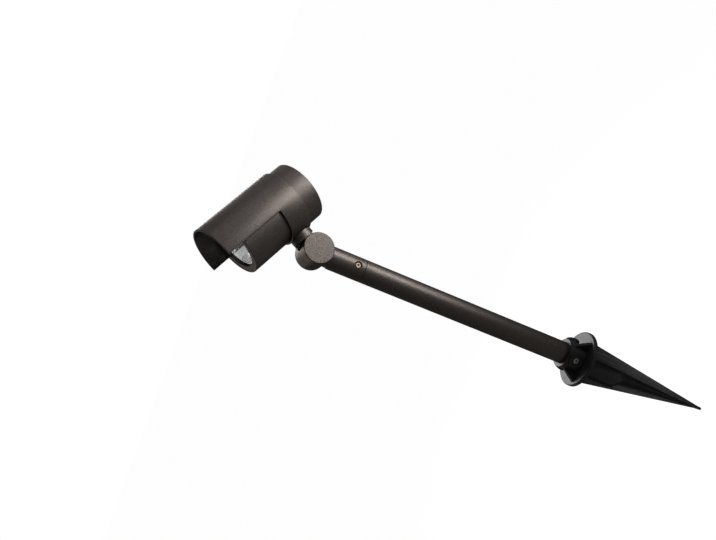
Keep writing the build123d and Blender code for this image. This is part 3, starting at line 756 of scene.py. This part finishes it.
def place_lights(studio):
    """The key light low on the right, and softer lights over the head, on the spike and behind."""
    beam = studio.beam
    narrow = beam * 0.25
    spike = np.array([0.0, 0.0, -95.0 * MM])
    pole = KNUCKLE * 0.5
    soft_light("key_light", KNUCKLE + (0.40, -0.42, -0.11), HEAD, 0.36, studio.key_power, beam)
    soft_light("top_light", HEAD + (0.34, -0.26, 0.30), HEAD, 0.5, studio.top_power, beam)
    soft_light("spike_light", spike + (0.30, -0.50, 0.0), spike, 0.1, studio.spike_power, narrow)
    soft_light("back_light", KNUCKLE + (0.30, 0.90, 0.10), pole, 0.6, studio.back_power, beam)


def soft_light(name, place, target, size, power, beam):
    """A square light that faces its target. A grid on it narrows its beam to this angle."""
    lamp = bpy.data.lights.new(name, "AREA")
    lamp.size = size
    lamp.energy = power
    lamp.spread = beam
    light = bpy.data.objects.new(name, lamp)
    light.location = place
    light.rotation_euler = Vector(place - target).to_track_quat("Z", "Y").to_euler()
    light.visible_camera = False
    bpy.context.scene.collection.objects.link(light)


def white_where_seen(tree, mirrored):
    """From 0 to 1: how white the backdrop is to a ray. It is white to the eye and through glass."""
    seen, through, glossy = (
        add_node(tree, "ShaderNodeLightPath", out=f"Is {ray} Ray")
        for ray in ("Camera", "Transmission", "Glossy")
    )
    return seen.at_least(through).at_least(glossy * mirrored)


def white_room(context, studio):
    """A room that looks white, and gives the object only a weak light of its own.

    Metal mirrors a white backdrop behind the object. The room in front of it, by the camera, is
    dark, and the one passes smoothly into the other.
    """
    world = bpy.data.worlds.new("room")
    world.use_nodes = True
    tree = world.node_tree
    background = tree.nodes["Background"]
    sight = add_node(tree, "ShaderNodeTexCoord", out="Generated")
    ahead = add_node(
        tree,
        "ShaderNodeVectorMath",
        {0: sight, 1: PICTURE_AHEAD},
        out="Value",
        operation="DOT_PRODUCT",
    )
    behind = add_node(
        tree,
        "ShaderNodeMapRange",
        {"Value": ahead, "From Min": 0.1, "From Max": 0.7, "To Max": studio.mirrored},
        interpolation_type="SMOOTHSTEP",
    )
    strength = studio.surround + (1.0 - studio.surround) * white_where_seen(tree, behind)
    put(tree, background.inputs["Strength"], strength)
    put(tree, background.inputs["Color"], (1.0, 1.0, 1.0))
    context.scene.world = world


def lay_floor(studio):
    """A white floor under the spike's tip that keeps a faint shadow."""
    low = cad_box[0][2] - 0.5 * MM
    reach = 6.0
    glow_share = 0.95
    mirrored_share = 0.1

    corner = np.array([-reach, reach])
    points = np.stack(np.meshgrid(corner, corner), axis=-1)
    points = np.dstack([points, np.full(points.shape[:2], low)])
    mesh = grid_mesh("floor", points, around=False)
    material = bpy.data.materials.new("floor")
    material.use_nodes = True
    tree = material.node_tree
    tree.nodes.remove(tree.nodes["Principled BSDF"])
    matt = add_node(tree, "ShaderNodeBsdfDiffuse", {"Color": (0.4, 0.4, 0.4)})
    glow_strength = glow_share * white_where_seen(tree, studio.mirrored * mirrored_share)
    glow = add_node(tree, "ShaderNodeEmission", {"Strength": glow_strength})
    both = add_node(tree, "ShaderNodeAddShader", {0: matt, 1: glow})
    put(tree, tree.nodes["Material Output"].inputs["Surface"], both)
    mesh.materials.append(material)
    floor = bpy.data.objects.new("floor", mesh)
    bpy.context.scene.collection.objects.link(floor)


# ---------------------------------------------------------------- panel and registration

OPERATORS = (
    SPOTLIGHT_OT_paint_metal,
    SPOTLIGHT_OT_finish_spike,
    SPOTLIGHT_OT_finish_small_parts,
    SPOTLIGHT_OT_glaze,
    SPOTLIGHT_OT_make_reflector,
    SPOTLIGHT_OT_make_filament,
    SPOTLIGHT_OT_set_stage,
)
SETTINGS = {
    "spotlight_finishes": SpotlightFinishes,
    "spotlight_lamp": SpotlightLamp,
    "spotlight_studio": SpotlightStudio,
}


class SPOTLIGHT_PT_panel(bpy.types.Panel):
    """The spotlight's settings and steps"""

    bl_label = "Spotlight"
    bl_space_type = "VIEW_3D"
    bl_region_type = "UI"
    bl_category = "Spotlight"

    def draw(self, context):
        for name, group in SETTINGS.items():
            for setting in group.__annotations__:
                self.layout.prop(getattr(context.scene, name), setting)
        for operator in OPERATORS:
            self.layout.operator(operator.bl_idname)


def register():
    for item in (*SETTINGS.values(), *OPERATORS, SPOTLIGHT_PT_panel):
        bpy.utils.register_class(item)
    for name, group in SETTINGS.items():
        setattr(bpy.types.Scene, name, PointerProperty(type=group))


def unregister():
    for name in SETTINGS:
        delattr(bpy.types.Scene, name)
    for item in (SPOTLIGHT_PT_panel, *reversed(OPERATORS), *SETTINGS.values()):
        bpy.utils.unregister_class(item)


def main():
    """Makes everything in order."""
    register()
    for operator in OPERATORS:
        group, step = operator.bl_idname.split(".")
        getattr(getattr(bpy.ops, group), step)()


if __name__ == "__main__":
    main()
